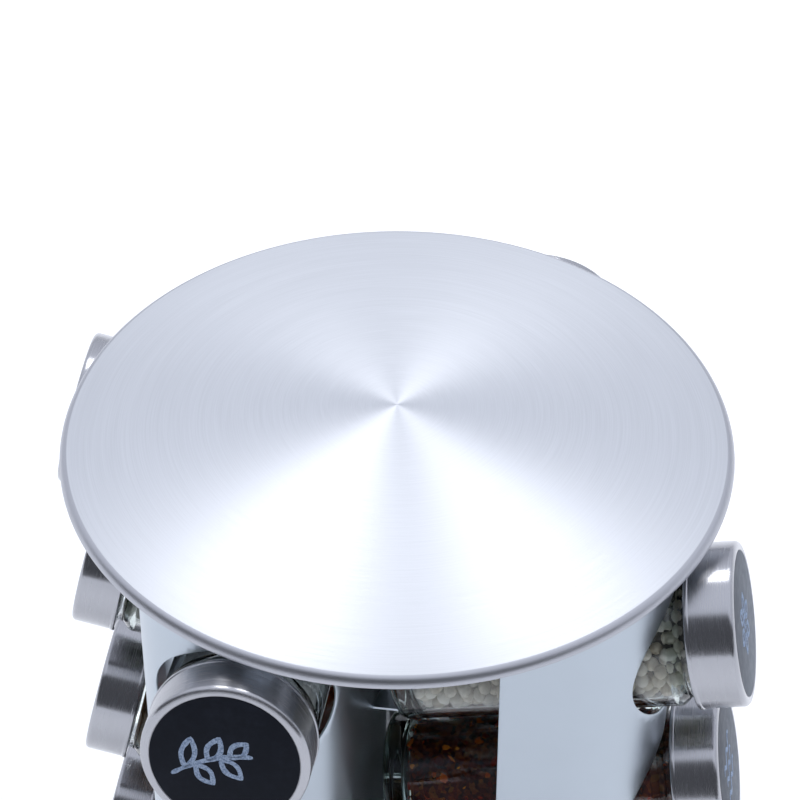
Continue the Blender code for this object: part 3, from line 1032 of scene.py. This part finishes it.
TURMERIC = fine_spice("turmeric", (0.50, 0.22, 0.012), (0.70, 0.36, 0.03), 2600, 0.15)
CINNAMON = fine_spice("cinnamon", (0.16, 0.065, 0.025), (0.30, 0.14, 0.055), 2600, 0.15)
MUSTARD = fine_spice("mustard", (0.36, 0.20, 0.03), (0.66, 0.44, 0.12), 520, 0.9, 0.1, 0.9)

# From the top tier down
SPICES = {
    "right": (WHITE_PEPPER, CHILLI, HERBS, TURMERIC),
    "front": (SALT, PAPRIKA, BLACK_PEPPER, CUMIN),
    "left": (MUSTARD, HERBS, CINNAMON, CHILLI),
    "back": (CORIANDER, PAPRIKA, CUMIN, SALT),
}


# ---- chalk marks

# A stroke is a function from a share of its length, 0 to 1, to a point in millimetres.

def wave(turns, width, height, tilt, rise=0):
    """An open wavy stroke."""
    def at(share):
        across = (share - 0.5) * width
        return across, height / 2 * math.sin(share * turns * math.tau) + across * tilt + rise
    return at


def coil(turns, outer):
    """A stroke that winds inwards."""
    def at(share):
        angle = share * turns * math.tau
        radius = outer * (1 - 0.85 * share)
        return radius * math.cos(angle), radius * math.sin(angle)
    return at


def petal(root, tip, bulge):
    """A closed leaf shape from a root to a tip and back."""
    def at(share):
        there = 1 - abs(2 * share - 1)
        side = math.copysign(bulge * math.sin(there * math.pi), 0.5 - share)
        dx, dy = tip[0] - root[0], tip[1] - root[1]
        length = math.hypot(dx, dy)
        return (root[0] + dx * there - dy / length * side,
                root[1] + dy * there + dx / length * side)
    return at


def bow(start, end, rise):
    """A bowed stroke from start to end."""
    def at(share):
        lift = 4 * rise * share * (1 - share)
        return start[0] + (end[0] - start[0]) * share, start[1] + (end[1] - start[1]) * share + lift
    return at


def sprig():
    """A stem with open leaves to each side."""
    strokes = [bow((-15, -6), (8, 2), 2.2)]
    for root, tip in (((-11, -3.6), (-9.5, 6.5)), ((-4.5, -0.6), (-1.5, 7.2)),
                      ((1.5, 1.2), (6.2, 6.4)), ((-8, -2.2), (-3.2, -8)), ((-1, 0.4), (4.8, -5.4))):
        strokes.append(petal(root, tip, 1.9))
    return strokes


def flower():
    strokes = [coil(1.0, 2.2)]
    for step in range(6):
        angle = math.tau * step / 6
        inner = (3.0 * math.cos(angle), 3.0 * math.sin(angle))
        strokes.append(petal(inner, (inner[0] * 2.9, inner[1] * 2.9), 1.9))
    return strokes


def waves():
    return [wave(2.5, 15, 2.6, 0.12), wave(2.5, 17, 2.8, 0.1, -5.5), wave(2.5, 17, 2.8, 0.1, 5.5)]


def pod():
    """A long curved pod with a stalk."""
    return [petal((-11, 3), (9, -4), 3.4), bow((-11, 3), (-14.5, 7), 0.8),
            bow((-7, 2.2), (4, -1.6), 0.7)]


MARKS = [sprig(), pod(), [coil(2.6, 8.5)], flower(), waves()]


def stroke_ribbon(path, width, seed, verts, faces):
    """A flat chalk stroke of uneven width, with round ends, on the label's face."""
    rng = np.random.default_rng(seed)
    steps = 72
    level = LID_TOP + 0.01 * MM
    centres = [np.array(path(step / steps)) * MM for step in range(steps + 1)]
    wobble = np.convolve(rng.normal(size=steps + 7), np.ones(7) / 7, "valid")
    rows = []
    for step, centre in enumerate(centres):
        before = centres[max(step - 1, 0)]
        after = centres[min(step + 1, steps)]
        heading = (after - before) / max(np.linalg.norm(after - before), 1e-9)
        edge = min(step, steps - step) / steps
        half = width / 2 * (1 + 0.22 * wobble[step]) * min(1, 0.45 + 12 * edge)
        across = np.array([-heading[1], heading[0]]) * half
        rows.append(len(verts))
        for share, lift in ((1, 0), (0.55, 0.045 * MM), (-0.55, 0.045 * MM), (-1, 0)):
            right, up = centre + across * share
            verts.append((-up, right, level + lift))
    for low, high in zip(rows, rows[1:]):
        for index in range(3):
            faces.append((low + index, low + index + 1, high + index + 1, high + index))


def chalk_mesh(number, strokes):
    verts, faces = [], []
    for index, path in enumerate(strokes):
        stroke_ribbon(path, 1.5 * MM, number * 10 + index, verts, faces)
    return loose_mesh(f"chalk_{number}", verts, faces)


def label_mesh():
    top = LID_TOP - 0.02 * MM
    back = LID_TOP - 0.14 * MM
    return turned("label_disc", rounded([(0, top, 0), (LABEL_RADIUS, top, 0.05 * MM),
                                         (LABEL_RADIUS, back, 0), (0, back, 0)]), 128)


def make_jars():
    glass = glass_mesh()
    lid = lid_mesh()
    sifter = sifter_mesh()
    label = label_mesh()
    chalk = [chalk_mesh(number, strokes) for number, strokes in enumerate(MARKS)]
    fills = {
        "berries": berries_mesh(),
        "flakes": flakes_mesh("chilli_flakes", 1900, 4.0 * MM, 0.25 * MM, 31),
        "herbs": flakes_mesh("herb_flakes", 1500, 2.6 * MM, 0.15 * MM, 41),
        "seeds": seeds_mesh(),
        "powder": fill_mesh("powder", FILL_RADIUS, 0.12 * MM, 51),
    }
    for column, side in enumerate(SIDES):
        for tier in TIERS:
            place = jar_place(side, tier)
            kind, looks = SPICES[side][tier - 1]
            mark = chalk[(tier - 1 + (column - 1) * 2) % len(chalk)]
            for piece, mesh, rides, materials, slot, replaced in (
                    ("glass", glass, "jar", [GLASS], "jar_glass", ["jar"]),
                    ("spice", fills[kind], "jar", looks, "spice", []),
                    ("plug", sifter, "jar", [SIFTER], "sifter_plastic", ["sifter"]),
                    ("cap", lid, "lid", [LID_STEEL, LINER], "lid_steel", ["lid"]),
                    ("label", label, "lid", [LABEL], "label_black", []),
                    ("chalk", mark, "lid", [CHALK], "chalk", [])):
                add_piece(f"{side}_{piece}_{tier}", mesh, f"{side}_{tier}_{rides}", materials,
                          [f"{side}_{node}_{tier}" for node in replaced], place)


# ---- studio

def make_studio():
    """A pale floor that curves up into a low wall all round."""
    reach, wall, steps = 4.5, 0.35, 96
    floor = rounded([(0, 0, 0), (reach, 0, 0.3), (reach, wall, 0)], 16)
    verts, faces = [], []
    for radius, height in floor:
        for step in range(steps):
            angle = math.tau * step / steps
            verts.append((radius * math.cos(angle), radius * math.sin(angle), height))
    for row in range(0, (len(floor) - 1) * steps, steps):
        for step in range(steps):
            after = (step + 1) % steps
            faces.append((row + step, row + after, row + steps + after, row + steps + step))
    mesh = loose_mesh("studio_floor", verts, faces)
    studio = new_object("studio_floor", mesh)
    look = Look("studio_floor", (0.86, 0.87, 0.89), 0.0, 0.9,
                Emission_Color=(1, 1, 1, 1), Emission_Strength=0.3)
    look.rough(look.noise(3, 2), 0.86, 0.94)
    mesh.materials.append(look.material)


def make_world():
    """A bright sky over and behind the carousel, and a dark room low on the camera's side."""
    world = bpy.data.worlds.new("studio")
    bpy.context.scene.world = world
    world.use_nodes = True
    nodes = Nodes(world.node_tree)
    heading = nodes.node("TexCoord")
    edge = nodes.node("VectorMath", operation="DOT_PRODUCT")
    edge.inputs[1].default_value = (0.06, 0.74, 0.66)
    nodes.join(heading, "Generated", edge, 0)
    split = nodes.node("SeparateXYZ")
    nodes.join(heading, "Generated", split, "Vector")
    room = nodes.mapped((edge, "Value"), 0.08, 0.2, 0.14, 1.0)
    room[0].interpolation_type = "SMOOTHSTEP"
    sky = nodes.mapped((split, "Z"), 0.0, 1.0, 0.72, 1.06)
    background = world.node_tree.nodes["Background"]
    background.inputs["Color"].default_value = (0.93, 0.97, 1.08, 1)
    nodes.join(*nodes.math("MULTIPLY", room, sky), background, "Strength")


def add_light(name, place, power):
    """A soft light high behind the carousel, aimed at its top."""
    light = bpy.data.lights.new(name, "AREA")
    light.shape = "RECTANGLE"
    light.size, light.size_y = 0.4, 0.6
    light.energy = power
    lamp = new_object(name, light)
    lamp.location = place
    aim = Vector((0, 0, 0.28)) - Vector(place)
    lamp.rotation_euler = aim.to_track_quat("-Z", "Y").to_euler()


def make_camera():
    """A long lens over the front column, a little to its right, looking down on the top disc."""
    azimuth = math.radians(7.9)
    elevation = math.radians(42.11)
    distance = 0.8676
    tilt_down = math.radians(41.22)
    side_step = 0.86 * MM
    aim_height = RIM_HEIGHT - 1.1 * MM
    spot = Vector((side_step, -distance * math.cos(elevation), distance * math.sin(elevation)))
    camera = new_object("camera", bpy.data.cameras.new("camera"))
    camera.location = Matrix.Rotation(azimuth, 3, "Z") @ spot + Vector((0, 0, aim_height))
    camera.rotation_euler = (math.pi / 2 - tilt_down, 0, azimuth)
    camera.data.sensor_width = 36
    camera.data.lens = 131.6
    bpy.context.scene.camera = camera


make_camera()
make_studio()
make_world()
add_light("left_soft", (-0.45, 0.78, 1.95), 5.5)
add_light("right_soft", (0.29, 0.84, 1.95), 4.5)
bpy.context.scene.view_settings.view_transform = "Standard"

make_top_disc()
make_floor()
make_base()
make_rod()
make_panels()
make_jars()
